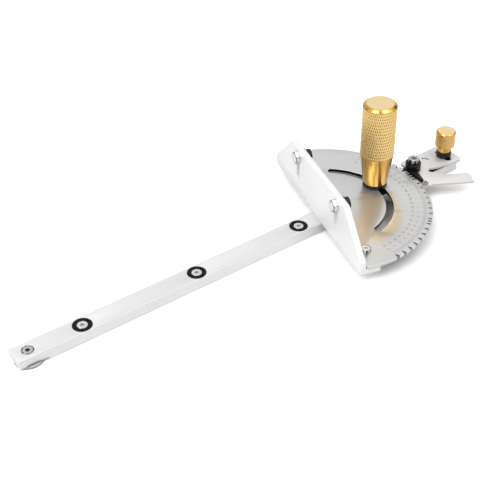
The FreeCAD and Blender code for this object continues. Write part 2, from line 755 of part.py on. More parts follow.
def make_index_lever():
    lever = new_body("index_lever")
    outline = new_sketch(lever, "lever_outline", "XY_Plane", LEVER_LOW)
    points = [("lever_front", "-leg_half"), ("lever_front", "rivet_low_y / 3"),
              ("rivet_low_x + rivet_diameter", "rivet_low_y - rivet_diameter / 2"),
              tooth_rest("finger_set", "-tooth_half"), tooth_rest("finger_set", "tooth_half"),
              arm_point("arm_heel", "arm_near"), arm_point("arm_reach", "arm_near"),
              arm_point("arm_reach", "arm_far + arm_chamfer"),
              arm_point("arm_reach - arm_chamfer", "arm_far"),
              arm_point("arm_start", "arm_far"), ("-slit_root", "slit_near"), ("-slit_reach", "slit_far"),
              ("-leg_mid_reach", "leg_mid"), ("-leg_reach", "leg_mouth"), ("-leg_reach", "-leg_half")]
    add_outline(outline, points)
    pad(lever, outline, "lever_thick")

    reach = SIZES["leg_reach"]
    outer = [e for x, y in ((-reach, -SIZES["leg_half"]), (-reach, SIZES["leg_mouth"]),
                            (SIZES["lever_front"], -SIZES["leg_half"]))
             for e in edges_where(lever, upright_at(x, y))]
    dress(lever, "Fillet", "Radius", "leg_corner", outer)
    root = [e for x, y in ((-SIZES["slit_root"], SIZES["slit_near"]),
                           (-SIZES["slit_reach"], SIZES["slit_far"]))
            for e in edges_where(lever, upright_at(x, y))]
    dress(lever, "Fillet", "Radius", "slit_round", root)

    bores = new_sketch(lever, "lever_bores", "XY_Plane", LEVER_TOP)
    add_circle(bores, "0", "0", "bush_diameter + 2 * pivot_fit")
    for x, y in rivet_places():
        add_circle(bores, x, y, "rivet_diameter")
    pocket(lever, bores, "lever_thick")
    band = new_sketch(lever, "lock_band", "XZ_Plane")
    add_outline(band, [("-knob_reach - lock_slot_width / 2", LEVER_LOW + " - 1"),
                       ("-knob_reach + lock_slot_width / 2", LEVER_LOW + " - 1"),
                       ("-knob_reach + lock_slot_width / 2", LEVER_TOP + " + 1"),
                       ("-knob_reach - lock_slot_width / 2", LEVER_TOP + " + 1")])
    groove_about_z(lever, band, "2 * lock_half_angle")
    ends = new_sketch(lever, "lock_ends", "XY_Plane", LEVER_TOP)
    for side in ("-", ""):
        x, y = polar("knob_reach", side + "lock_half_angle")
        add_circle(ends, x, y, "lock_slot_width")
    pocket(lever, ends, "lever_thick")
    set_place(lever, "-" + LEVER_AXIS, "0", "0")


def rivet_places():
    """Two rivets in the pawl and one in the tooth, in the lever's frame."""
    return [("rivet_low_x", "rivet_low_y"), tooth_rest("pawl_rivet", PAWL_SHOULDER),
            tooth_rest("tooth_rivet", "0")]


def make_pawl():
    """The black pawl: a ring round the pivot and an arm along the rim."""
    pawl = new_body("index_pawl")
    height = "%s - (%s)" % (PAWL_TOP, LEVER_TOP)
    ring = new_sketch(pawl, "pawl_ring", "XY_Plane", LEVER_TOP)
    add_circle(ring, "0", "0", "collar_diameter")
    pad(pawl, ring, height)
    arm = new_sketch(pawl, "pawl_arm", "XY_Plane", LEVER_TOP)
    add_outline(arm, [("0", "-collar_diameter / 4"), ("pawl_inner - pawl_gap", "collar_diameter / 4"),
                      ("pawl_inner", "rivet_low_y"), tooth_rest("pawl_rivet - pawl_half", PAWL_SHOULDER),
                      tooth_rest("pawl_rivet - pawl_half", PAWL_END),
                      tooth_rest("pawl_rivet + pawl_half / 2", PAWL_END),
                      tooth_rest("pawl_rivet + pawl_half", PAWL_SHOULDER),
                      ("rivet_low_x - pawl_back", "rivet_low_y"), ("-pawl_back", "collar_diameter / 4")])
    pad(pawl, arm, height)
    bores = new_sketch(pawl, "pawl_bores", "XY_Plane", PAWL_TOP)
    add_circle(bores, "0", "0", "bush_diameter + 2 * pivot_fit")
    for place in rivet_places()[:2]:
        add_circle(bores, place[0], place[1], "rivet_diameter")
    pocket(pawl, bores, height)
    set_place(pawl, "-" + LEVER_AXIS, "0", "0")


def make_tooth():
    tooth = new_body("index_tooth")
    height = "%s - (%s)" % (PAWL_TOP, LEVER_TOP)
    outline = new_sketch(tooth, "tooth_outline", "XY_Plane", LEVER_TOP)
    flank = "(tooth_half - tooth_tip / 2) / tan(tooth_flank)"
    add_outline(outline, [tooth_rest("0", "-tooth_tip / 2"), tooth_rest("0", "tooth_tip / 2"),
                          tooth_rest(flank, "tooth_half"), tooth_rest("tooth_length", "tooth_half"),
                          tooth_rest("tooth_length", "-tooth_half"), tooth_rest(flank, "-tooth_half")])
    pad(tooth, outline, height)
    bores = new_sketch(tooth, "tooth_bore", "XY_Plane", PAWL_TOP)
    x, y = rivet_places()[2]
    add_circle(bores, x, y, "rivet_diameter")
    pocket(tooth, bores, height)
    set_place(tooth, "-" + LEVER_AXIS, "0", "0")

    rivets = doc.addObject("Part::Compound", "pawl_rivets")
    rivets.Label = "pawl_rivets"
    links = []
    for number, (x, y) in enumerate(rivet_places(), start=1):
        rivet = doc.addObject("Part::Cylinder", "pawl_rivet_%d" % number)
        bind(rivet, "Radius", "rivet_diameter / 2")
        bind(rivet, "Height", "%s - (%s)" % (PAWL_TOP, LEVER_LOW))
        set_place(rivet, x + " - " + LEVER_AXIS, y, LEVER_LOW)
        links.append(rivet)
    rivets.Links = links
    doc.recompute()


def make_index_knob():
    place = "-" + KNOB_AXIS
    low = LEVER_TOP + " + lever_gap"
    base = low + " + knob_spacer_height"
    spacer = turned("knob_spacer",
                    ring_profile("knob_thread + 2 * stud_bore_fit", "knob_spacer_diameter", low, base))
    set_place(spacer, place, "0", "0")
    stud_top = base + " + knob_stud_reach"
    stud = turned("knob_stud", [("0", "blind_floor"), ("knob_thread / 2", "blind_floor"),
                                ("knob_thread / 2", stud_top), ("0", stud_top)])
    set_place(stud, place, "0", "0")
    bore = "knob_thread / 2 + stud_bore_fit"
    hold = stud_top + " + lift_gap"
    crown = base + " + knob_height"
    knob = turned("index_knob",
                  [(bore, base), ("knob_neck / 2", base), ("knob_neck / 2", base + " + knob_neck_height"),
                   ("knob_diameter / 2", base + " + knob_neck_height + knob_cone"),
                   ("knob_diameter / 2", crown + " - knob_top_bevel"),
                   ("knob_diameter / 2 - knob_top_bevel", crown), ("0", crown), ("0", hold), (bore, hold)])
    set_place(knob, place, "0", "0")


def export_all():
    """Checks every object and writes each labelled piece to its own file."""
    doc.recompute()
    for item in doc.Objects:
        if "Invalid" in item.State or "Error" in item.State:
            raise RuntimeError("%s failed: %s" % (item.Name, item.State))
    pieces = [o for o in doc.Objects if o.TypeId == "PartDesign::Body" or o.Name == "pawl_rivets"]
    os.makedirs("parts", exist_ok=True)
    for piece in pieces:
        if piece.Shape.isNull() or not piece.Shape.isValid() or not piece.Shape.Solids:
            raise RuntimeError("%s has no sound shape" % piece.Label)
    for piece in pieces:
        piece.Shape.exportStep("parts/%s.step" % piece.Label)
        print(piece.Label, round(piece.Shape.Volume, 1))
    print(len(pieces), "pieces")


make_bar()
for number in range(3):
    make_expander(number)
make_front_end()
make_head_pivot()
make_protractor_plate()
make_fence_bracket()
make_plate_screw("plate_screw_near", "")
make_plate_screw("plate_screw_far", "-")
make_fence_clamp("near", "")
make_fence_clamp("far", "-")
make_handle()
make_glide_strip()
make_lever_pivot()
make_index_lever()
make_pawl()
make_tooth()
make_index_knob()
export_all()
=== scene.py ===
import json
import math
import bmesh
import bpy
import numpy as np
from mathutils import Matrix, Vector

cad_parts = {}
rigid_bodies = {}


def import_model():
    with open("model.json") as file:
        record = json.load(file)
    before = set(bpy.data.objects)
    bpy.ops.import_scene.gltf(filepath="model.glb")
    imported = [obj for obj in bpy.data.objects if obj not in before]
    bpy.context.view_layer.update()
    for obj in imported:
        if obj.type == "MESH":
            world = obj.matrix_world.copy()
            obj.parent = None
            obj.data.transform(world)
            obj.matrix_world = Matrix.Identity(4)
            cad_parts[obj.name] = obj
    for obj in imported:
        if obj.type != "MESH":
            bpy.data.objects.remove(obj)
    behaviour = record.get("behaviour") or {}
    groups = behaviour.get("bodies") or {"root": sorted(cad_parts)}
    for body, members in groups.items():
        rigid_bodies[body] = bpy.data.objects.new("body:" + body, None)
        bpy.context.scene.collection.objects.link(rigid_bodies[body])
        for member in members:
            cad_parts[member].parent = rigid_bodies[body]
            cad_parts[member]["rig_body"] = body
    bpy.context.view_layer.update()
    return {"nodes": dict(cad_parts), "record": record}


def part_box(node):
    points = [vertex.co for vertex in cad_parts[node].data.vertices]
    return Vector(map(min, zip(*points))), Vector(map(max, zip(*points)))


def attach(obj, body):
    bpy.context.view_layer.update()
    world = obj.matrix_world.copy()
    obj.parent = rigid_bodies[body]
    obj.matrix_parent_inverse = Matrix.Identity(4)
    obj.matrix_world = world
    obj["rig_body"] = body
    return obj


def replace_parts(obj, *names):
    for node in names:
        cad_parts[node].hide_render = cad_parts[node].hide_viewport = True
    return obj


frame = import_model()
mm = 0.001
slotOf = {part["node"]: part["material_slot"] for part in frame["record"]["subparts"]}

# the head stands so many degrees from square, and two level directions go with it: out of its fence and along it
headTurn = 15.0
outOfFence = (math.cos(math.radians(headTurn)), -math.sin(math.radians(headTurn)), 0)
alongFence = (math.sin(math.radians(headTurn)), math.cos(math.radians(headTurn)), 0)
upward = (0, 0, 1)


# ---- small tools for meshes

def gridFaces(rows, cols, wrapRows=False):
    # quads between neighbouring points of a grid; its last column joins its first, and so may its last row
    r, c = np.meshgrid(np.arange(rows if wrapRows else rows - 1), np.arange(cols), indexing="ij")
    nextRow, nextCol = (r + 1) % rows, (c + 1) % cols
    corners = [r * cols + c, r * cols + nextCol, nextRow * cols + nextCol, nextRow * cols + c]
    return np.stack(corners, -1).reshape(-1, 4)


def pointsOf(mesh):
    points = np.empty(len(mesh.vertices) * 3)
    mesh.vertices.foreach_get("co", points)
    return points.reshape(-1, 3) / mm


def spanOf(node, way):
    # the lowest and highest place of a node's points along a direction, in mm
    along = pointsOf(frame["nodes"][node].data) @ np.array(way, float)
    return along.min(), along.max()


def axisOf(low, high):
    # where the upright axis of a turned node is, and its lowest and highest level, in mm, from the corners of its box
    return ((low.x + high.x) / 2 / mm, (low.y + high.y) / 2 / mm), low.z / mm, high.z / mm


def linkPiece(name, mesh, finish, body):
    mesh.materials.clear()
    mesh.materials.append(finish)
    piece = bpy.data.objects.new(name, mesh)
    bpy.context.scene.collection.objects.link(piece)
    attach(piece, body)
    return piece


def makePiece(name, points, faces, finish, body, slotName, sharp=35, marks={}):
    # points in mm, four corners a face; marks are values per point that the finish reads by name
    mesh = bpy.data.meshes.new(name)
    mesh.from_pydata(np.asarray(points, float).reshape(-1, 3) * mm, [], faces.tolist())
    for mark, values in marks.items():
        mesh.attributes.new(mark, "FLOAT", "POINT").data.foreach_set("value", np.ravel(values).astype(np.float32))
    work = bmesh.new()
    work.from_mesh(mesh)
    bmesh.ops.remove_doubles(work, verts=work.verts, dist=2e-6)
    bmesh.ops.recalc_face_normals(work, faces=work.faces)
    work.to_mesh(mesh)
    work.free()
    mesh.shade_smooth()
    mesh.set_sharp_from_angle(angle=math.radians(sharp))
    return linkPiece(name, mesh, finish, body)


def easedCopy(node, width, finish, steps=2, reshape=None):
    # the node's own shape with its loose triangles joined and its sharp edges broken; reshape moves the copy's points
    source = frame["nodes"][node]
    mesh = source.data.copy()
    work = bmesh.new()
    work.from_mesh(mesh)
    bmesh.ops.remove_doubles(work, verts=work.verts, dist=1e-6)
    bmesh.ops.dissolve_limit(work, angle_limit=math.radians(0.5), verts=work.verts, edges=work.edges)
    work.to_mesh(mesh)
    work.free()
    if reshape:
        mesh.vertices.foreach_set("co", reshape(pointsOf(mesh)).ravel() * mm)
    mesh.name = node + "_eased"
    mesh.shade_smooth()
    piece = linkPiece(node + "_eased", mesh, finish, source["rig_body"])
    bevel = piece.modifiers.new("brokenEdges", "BEVEL")
    bevel.width = width * mm
    bevel.segments = steps
    bevel.limit_method = "ANGLE"
    bevel.angle_limit = math.radians(35)
    bevel.harden_normals = True
    bevel.use_clamp_overlap = True
    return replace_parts(piece, node)


def roundedProfile(corners, radius, steps=4):
    # each inner corner of a run of straight lines is swapped for a short arc (a quadratic curve)
    corners = [np.array(c, float) for c in corners]
    run = [corners[0]]
    for before, here, after in zip(corners, corners[1:], corners[2:]):
        reach = min(radius, np.linalg.norm(here - before) / 2, np.linalg.norm(after - here) / 2)
        start = here + (before - here) / np.linalg.norm(before - here) * reach
        stop = here + (after - here) / np.linalg.norm(after - here) * reach
        for t in np.linspace(0, 1, steps):
            run.append((1 - t) ** 2 * start + 2 * t * (1 - t) * here + t ** 2 * stop)
    return np.array(run + [corners[-1]])


def prisms(flat, low, high):
    # upright prisms over flat four-cornered outlines, given as an array of (piece, corner, x and y)
    levels = [np.concatenate([flat, np.full((*flat.shape[:2], 1), h)], -1) for h in (low, high)]
    sides = np.array([(0, 3, 2, 1), (4, 5, 6, 7), (0, 1, 5, 4), (1, 2, 6, 5), (2, 3, 7, 6), (3, 0, 4, 7)])
    return np.concatenate(levels, 1), (np.arange(len(flat))[:, None, None] * 8 + sides).reshape(-1, 4)


# ---- small tools for materials

class Wire:
    # wraps a socket, so that sums on it add their own Math nodes
    def __init__(self, tree, socket):
        self.tree = tree
        self.socket = socket

    def node(self, kind, settings, feeds, out=0):
        # any node: its settings come first, then the values or links of its sockets
        made = self.tree.nodes.new(kind)
        for name, value in settings.items():
            setattr(made, name, value)
        for name, value in feeds.items():
            if isinstance(value, Wire):
                self.tree.links.new(value.socket, made.inputs[name])
            else:
                made.inputs[name].default_value = value
        return Wire(self.tree, made.outputs[out])

    def sum(self, operation, other, flipped=False):
        first, second = (other, self) if flipped else (self, other)
        return self.node("ShaderNodeMath", {"operation": operation}, {0: first, 1: second})

    def __add__(self, other):
        return self.sum("ADD", other)

    def __sub__(self, other):
        return self.sum("SUBTRACT", other)

    def __mul__(self, other):
        return self.sum("MULTIPLY", other)

    def __rsub__(self, other):
        return self.sum("SUBTRACT", other, True)

    __radd__ = __add__
    __rmul__ = __mul__

    def noise(self, scale, detail=2.0, stretch=(1, 1, 1), turn=0.0):
        # cloudy values from 0 to 1; stretch above 1 packs them closer along that axis
        place = self.node("ShaderNodeMapping", {}, {"Vector": self, "Rotation": (0, 0, math.radians(turn))})
        place = place.node("ShaderNodeMapping", {}, {"Vector": place, "Scale": stretch})
        return place.node("ShaderNodeTexNoise", {}, {"Vector": place, "Scale": scale, "Detail": detail})

    def between(self, low, high):
        # blends two colours by this value; each is a grey, three numbers or another blend
        low, high = (shade if isinstance(shade, Wire) else (*np.broadcast_to(shade, 3), 1) for shade in (low, high))
        return self.node("ShaderNodeMix", {"data_type": "RGBA"}, {0: self, 6: low, 7: high}, 2)

    def rise(self, low, high, unit=1):
        # 0 below the low value, 1 above the high one, and smooth between
        return self.node("ShaderNodeMapRange", {"interpolation_type": "SMOOTHSTEP"},
                         {"Value": self, "From Min": low * unit, "From Max": high * unit})

    def vector(self, operation, other, out=0):
        return self.node("ShaderNodeVectorMath", {"operation": operation}, {0: self, 1: other}, out)

    def along(self, way):
        # how far a place lies along a direction
        return self.vector("DOT_PRODUCT", way, 1)

    def length(self):
        return self.vector("LENGTH", (0, 0, 0), 1)

    def facing(self, way):
        # how much the surface looks along a direction, from -1 to 1; asked of the wire of Object coordinates
        return Wire(self.tree, self.socket.node.outputs["Normal"]).along(way)

    def centred(self, x, y):
        # the flat way from an upright axis at x, y in mm
        return self.node("ShaderNodeMapping", {},
                         {"Vector": self, "Location": (-x * mm, -y * mm, 0), "Scale": (1, 1, 0)})

    def mark(self, name):
        # a value that the piece carries on its points
        return self.node("ShaderNodeAttribute", {"attribute_name": name}, {}, 2)

    def bump(self, strength, distance):
        return self.node("ShaderNodeBump", {}, {"Height": self, "Strength": strength, "Distance": distance * mm})


def newFinish(name, **values):
    # a material with its shader's plain values, and the wire of Object coordinates
    finish = bpy.data.materials.new(name)
    finish.use_nodes = True
    tree = finish.node_tree
    shader = next(n for n in tree.nodes if n.type == "BSDF_PRINCIPLED")
    for socket, value in values.items():
        shader.inputs[socket.replace("_", " ")].default_value = value
    spot = Wire(tree, tree.nodes.new("ShaderNodeTexCoord").outputs["Object"])

    def feed(**wires):
        for socket, wire in wires.items():
            tree.links.new(wire.socket, shader.inputs[socket.replace("_", " ")])

    return finish, spot, feed


# ---- finishes; two values of roughness are the least, and what the clouds or streaks add to it

# the bar's edge colour is a painted shade on its broken edge; the wall colour is a painted shade in the fence's slots
anodised = {"bar": (0.76, 0.83), "fence": (0.89, 0.95), "barMetal": 0.6, "fenceMetal": 0.3,
            "roughness": (0.40, 0.10), "clouds": 35, "grain": 5200, "bump": (0.12, 0.02), "edge": 0.60, "wallShade": 0.06,
            "edgeSlant": (0.85, 0.97)}
# the slots' walls and sills take a painted shade, the sills more of it
slots = {"side": (25.5, 26.0), "low": (21.8, 22.2), "high": (51.0, 51.5), "wallShade": 0.45, "sillShade": 0.5,
         "edgeways": (0.3, 0.6), "upwards": (0.0, 0.5)}


def barEdge(spot):
    # the broken upper edge on the bar's near side, painted darker as shade so that it shows no highlight
    return spot.facing((0, 0.7071, 0.7071)).rise(*anodised["edgeSlant"])


def slotWalls(spot):
    # the walls of the fence's slots are painted dark as shade; they look along the fence, up or down, and lie between
    # the slots' outer sides and ends (in mm); one that looks up gets more of the painted shade
    front, back = (spot.facing(way).rise(*slots["edgeways"]) for way in (outOfFence, [-c for c in outOfFence]))
    edgeways = (1 - front) * (1 - back)
    along, height = spot.along(alongFence), spot.along(upward)
    inner, outer = slots["side"]
    middle = along.rise(-outer, -inner, mm) * (1 - along.rise(inner, outer, mm))
    level = height.rise(*slots["low"], mm) * (1 - height.rise(*slots["high"], mm))
    return edgeways * middle * level * (slots["wallShade"] + slots["sillShade"] * spot.facing(upward).rise(*slots["upwards"]))


def silverAnodised(name, shades, metallic, shadeMaskOf, paintedShade):
    # bead-blasted and clear anodised: a fine even grain with faint clouds, and a painted shade under the mask
    finish, spot, feed = newFinish(name, Metallic=metallic)
    grain = spot.noise(anodised["grain"], 1)
    rough, change = anodised["roughness"]
    feed(Base_Color=shadeMaskOf(spot).between(spot.noise(anodised["clouds"], 3).between(*shades), paintedShade),
         Roughness=rough + change * grain,
         Normal=grain.bump(*anodised["bump"]))
    return finish


scratches = {"scale": 900, "along": 0.03, "bump": (0.12, 0.03), "cut": (0.3, 0.7)}
plateLook = {"shades": (0.60, 0.74), "metallic": 0.75, "roughness": (0.27, 0.10), "clouds": 24, "grain": 1400,
             "mix": (0.5, 0.2, 0.3), "under": 0.22, "slotShade": 0.02, "notchShade": 0.28, "slotWithin": (70, 80),
             "rim": (88.4, 89.0)}
leverLook = {"shades": (0.75, 0.87), "metallic": 0.35, "roughness": (0.42, 0.12), "clouds": 60, "mix": (0.6, 0.4),
             "wallShade": 0.66}


def brushing(spot, turn):
    # long fine scratches, all one way, and where the surface is a cut edge
    streak = spot.noise(scratches["scale"], 3, (scratches["along"], 1, scratches["along"]), turn)
    return streak, 1 - spot.facing(upward).rise(*scratches["cut"])


def brushedPlate():
    # scratched, with a blotchy grain; the walls of the slot and the notches are painted dark as shade, and the
    # underside is painted dark so that little light bounces under the plate
    finish, spot, feed = newFinish("brushedPlate", Metallic=plateLook["metallic"])
    streak, cut = brushing(spot, headTurn)
    away = spot.centred(0, 0).length()
    # inside the rim the walls take a painted shade, darkest in the slot
    wallShade = away.rise(*plateLook["slotWithin"], mm).between(plateLook["slotShade"], plateLook["notchShade"])
    streaky, cloudy, grainy = plateLook["mix"]
    clouds, grain = (spot.noise(plateLook[k], 2) for k in ("clouds", "grain"))
    mottle = streak * streaky + clouds * cloudy + grain * grainy
    colour = (cut * (1 - away.rise(*plateLook["rim"], mm))).between(mottle.between(*plateLook["shades"]), wallShade)
    # the underside is painted dark, so that the space under the plate stays in deep shade
    below = spot.facing((0, 0, -1)).rise(*scratches["cut"])
    rough, change = plateLook["roughness"]
    feed(Base_Color=below.between(colour, plateLook["under"]),
         Roughness=rough + change * streak,
         Normal=streak.bump(*scratches["bump"]))
    return finish


def brushedLever():
    # a duller and paler blank with the same kind of scratches, and its cut edges painted greyer as shade
    finish, spot, feed = newFinish("brushedLever", Metallic=leverLook["metallic"])
    streak, cut = brushing(spot, 0)
    streaky, cloudy = leverLook["mix"]
    mottle = streak * streaky + spot.noise(leverLook["clouds"], 3) * cloudy
    rough, change = leverLook["roughness"]
    feed(Base_Color=cut.between(mottle.between(*leverLook["shades"]), leverLook["wallShade"]),
         Roughness=rough + change * streak,
         Normal=streak.bump(*scratches["bump"]))
    return finish


gold = {"plain": ((0.62, 0.35, 0.08), (0.72, 0.43, 0.12)), "handle": ((0.90, 0.62, 0.23), (0.98, 0.72, 0.32)),
        "knob": ((0.77, 0.47, 0.16), (0.90, 0.59, 0.24)), "pitDyeAndShade": (0.20, 0.075, 0.012), "pitFrom": (0.07, 0.52),
        "faced": (0.94, 0.73, 0.41), "polish": 0.20, "rings": 0.05, "knurl": 0.02, "facing": 0.12,
        "bump": (0.05, 0.02), "turned": (1500, 2, (0.02, 0.02, 1)), "clouds": (60, 2)}


def goldAnodised(name, knurled):
    # dyed gold: polished where plain, rougher on the knurl, with dye gathered in its pits and painted shade there;
    # paler on the faced end
    finish, spot, feed = newFinish(name, Metallic=1.0)
    rings = spot.noise(*gold["turned"])
    clouds = spot.noise(*gold["clouds"])
    pitDyeAndShade, band, faced = (spot.mark(name) for name in ("pitDyeAndShade", "band", "faced"))
    dyed = band.between(clouds.between(*gold["plain"]), clouds.between(*knurled))
    feed(Base_Color=faced.between(pitDyeAndShade.rise(*gold["pitFrom"]).between(dyed, gold["pitDyeAndShade"]), gold["faced"]),
         Roughness=gold["polish"] + gold["rings"] * rings + gold["knurl"] * band + gold["facing"] * faced,
         Normal=rings.bump(*gold["bump"]))
    return finish


mottled = {
    "blackOxide": {"shades": (0.003, 0.008), "clouds": (2600, 2), "roughness": (0.36, 0.16), "bump": (0.15, 0.02),
                   "plain": {"Specular_IOR_Level": 0.3}},
    "blackNylon": {"shades": (0.004, 0.010), "clouds": (1800, 2), "roughness": (0.50, 0.12), "bump": (0.2, 0.03),
                   "plain": {"Specular_IOR_Level": 0.12}},
    "greySteel": {"shades": (0.45, 0.62), "clouds": (500, 3), "roughness": (0.24, 0.12), "plain": {"Metallic": 1.0}},
    "darkSteel": {"shades": (0.28, 0.44), "clouds": (500, 3), "roughness": (0.24, 0.12), "plain": {"Metallic": 1.0}},
    "engravedGrey": {"shades": (0.20, 0.38), "clouds": (900, 2), "roughness": (0.55, 0.10)},
    "engravedBlack": {"shades": (0.01, 0.05), "clouds": (900, 2), "roughness": (0.55, 0.10)},
}


def mottledFinish(name):
    # one grey with fine clouds in it, which change its gloss as well
    look = mottled[name]
    finish, spot, feed = newFinish(name, **look.get("plain", {}))
    clouds = spot.noise(*look["clouds"])
    rough, change = look["roughness"]
    feed(Base_Color=clouds.between(*look["shades"]), Roughness=rough + change * clouds)
    if "bump" in look:
        feed(Normal=clouds.bump(*look["bump"]))
    return finish


boltLook = {"shades": ((0.66, 0.66, 0.665), (0.84, 0.84, 0.845)), "grimeAndShade": 0.10, "dirtAndShade": (0.55, 0.45), "clouds": 420,
            "roughness": (0.16, 0.12)}


def brightZinc():
    # plated bolts, with grime and painted shade along the edges of their flats and round the seat of the head
    finish, spot, feed = newFinish("brightZinc", Metallic=1.0)
    clouds = spot.noise(boltLook["clouds"], 2)
    least, more = boltLook["dirtAndShade"]
    rough, change = boltLook["roughness"]
    grimeAndShade = spot.mark("edge") * (least + more * clouds)
    feed(Base_Color=grimeAndShade.between(clouds.between(*boltLook["shades"]), boltLook["grimeAndShade"]),
         Roughness=rough + change * clouds)
    return finish


headLook = {"clouds": 420, "darker": 0.85, "sectors": 3.4, "gaps": (0.42, 0.52), "line": (0.10, 0.85),
            "lineWithin": 0.4, "socket": (0.30, 0.42), "dirtAndShade": 0.03, "roughness": (0.28, 0.12)}


def headMetal(name, centre, rim, pale, edge, socketShade):
    # a screw head with a broken dark line of painted shade and reflection round it, and a socket painted dark as
    # shade;
    # distances from its axis in mm
    finish, spot, feed = newFinish(name, Metallic=1.0)
    clouds = spot.noise(headLook["clouds"], 2)
    flat = spot.centred(*centre)
    away = flat.length()
    sectors = flat.vector("NORMALIZE", (0, 0, 0)).noise(headLook["sectors"], 1).rise(*headLook["gaps"])
    least, more = headLook["line"]
    line = away.rise(rim - edge, rim - edge * headLook["lineWithin"], mm) * (least + more * sectors)
    socket = 1 - away.rise(*headLook["socket"], rim * mm)
    rough, change = headLook["roughness"]
    feed(Base_Color=(line + socket * socketShade).between(clouds.between(pale * headLook["darker"], pale), headLook["dirtAndShade"]),
         Roughness=rough + change * clouds)
    return finish


washerLook = {"bar": (9.8, 10.4), "top": (0.04, 0.62), "edge": (0.30, 0.40), "level": (0.3, 0.8), "clouds": (500, 3),
              "roughness": (0.24, 0.12)}


def shadedWasher():
    # the retaining washer, in painted light and shade: a painted shadow beside the bar, pale on its lit open top,
    # mid-grey round its shaded edge
    finish, spot, feed = newFinish("shadedWasher", Metallic=1.0)
    clouds = spot.noise(*washerLook["clouds"])
    top = spot.along((0, 1, 0)).rise(*washerLook["bar"], mm).between(*washerLook["top"])
    rough, change = washerLook["roughness"]
    feed(Base_Color=spot.facing(upward).rise(*washerLook["level"]).between(clouds.between(*washerLook["edge"]), top),
         Roughness=rough + change * clouds)
    return finish


silver = silverAnodised("silverBar", anodised["bar"], anodised["barMetal"], barEdge, anodised["edge"])
silverFence = silverAnodised("silverFence", anodised["fence"], anodised["fenceMetal"], slotWalls, anodised["wallShade"])
plateMetal = brushedPlate()
leverMetal = brushedLever()
goldHandle = goldAnodised("goldHandle", gold["handle"])
goldKnob = goldAnodised("goldKnob", gold["knob"])
zinc = brightZinc()
washerMetal = shadedWasher()
blackMetal, nylon, steel, darkSteel, inkLine, inkMark = (mottledFinish(name) for name in mottled)
print("finishes made")


# ---- the solids that keep their own shape, with their sharp edges broken by so many mm, and in more steps on one

easing = {"miter_bar": 0.15, "fence_bracket": 0.5, "protractor_plate": 0.22, "index_lever": 0.2, "glide_strip": 0.2,
          "index_pawl": 0.15, "index_tooth": 0.15, "expander_disc_1": 0.12, "expander_disc_2": 0.12,
          "expander_disc_3": 0.12, "expander_screw_1": 0.12, "expander_screw_2": 0.12, "expander_screw_3": 0.12,
          "end_screw": 0.15, "retaining_washer": 0.25, "plate_screw_near": 0.3, "plate_screw_far": 0.3,
          "fence_washer_near": 0.2, "fence_washer_far": 0.2, "handle_washer": 0.3, "index_collar": 0.35,
          "index_screw": 0.5, "knob_spacer": 0.35, "pivot_screw": 0.3}
rounder = {"fence_bracket": 3}

worn = {
    silver: ["miter_bar"],
    silverFence: ["fence_bracket"],
    leverMetal: ["index_lever"],
    nylon: ["expander_disc_1", "expander_disc_2", "expander_disc_3", "glide_strip"],
    blackMetal: ["fence_washer_near", "fence_washer_far", "handle_washer", "index_collar", "knob_spacer",
                 "index_pawl"],
    steel: ["pivot_screw"],
    washerMetal: ["retaining_washer"],
    darkSteel: ["index_tooth"],
}
hidden = {steel: ["handle_stud", "knob_stud", "index_bush"], blackMetal: ["pawl_rivets"]}

notches = {"angle": 30.0, "span": 62.0, "root": (85.9, 86.7), "deeper": 0.9, "wider": 1.8, "step": 2.5}


def deepNotches(points):
    # the roots of the plate's notches go in by a little, and spread to a round end as wide as the photograph's
    away = np.hypot(points[:, 0], points[:, 1])
    angle = np.degrees(np.arctan2(points[:, 1], -points[:, 0])) - notches["angle"]
    root = (away > notches["root"][0]) & (away < notches["root"][1]) & (np.abs(angle) < notches["span"])
    middle = np.round(angle / notches["step"]) * notches["step"]
    angle = np.where(root, middle + (angle - middle) * notches["wider"], angle)
    away = np.where(root, away - notches["deeper"], away)
    turned = np.radians(angle + notches["angle"])
    return np.stack([-away * np.cos(turned), away * np.sin(turned), points[:, 2]], 1)


def dressSolids():
    for finish, names in worn.items():
        for name in names:
            easedCopy(name, easing[name], finish, rounder.get(name, 2))
    easedCopy("protractor_plate", easing["protractor_plate"], plateMetal, reshape=deepNotches)
    for finish, names in hidden.items():
        for name in names:
            solid = frame["nodes"][name]
            solid.data.materials.clear()
            solid.data.materials.append(finish)


# each head's radius, how pale it is, the width of its painted dark line and how dark the socket's painted shade is
expanderHead, plateHead = (4.4, 0.80, 0.5, 0.5), (4.25, 0.90, 0.7, 0.4)
heads = {"expander_screw_1": expanderHead, "expander_screw_2": expanderHead, "expander_screw_3": expanderHead,
         "end_screw": (5.0, 0.60, 1.5, 0.9), "plate_screw_near": plateHead, "plate_screw_far": plateHead,
         "index_screw": (5.0, 0.63, 0.4, 0.9)}


def dressHeads():
    for node, look in heads.items():
        centre = axisOf(*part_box(node))[0]
        easedCopy(node, easing[node], headMetal(node + "_finish", centre, *look))


dressSolids()
dressHeads()
print("solids dressed")


# ---- bolts and nuts of the fence

fasteners = {"flats": 10.0, "head": 4.0, "gap": 0.02, "shank": 3.0, "end": 0.6, "crown": 0.93, "dish": 1.0,
             "lip": 0.2, "line": 0.9, "foot": 0.7, "mouth": (0.4, 0.3), "corner": 9, "steps": 72}


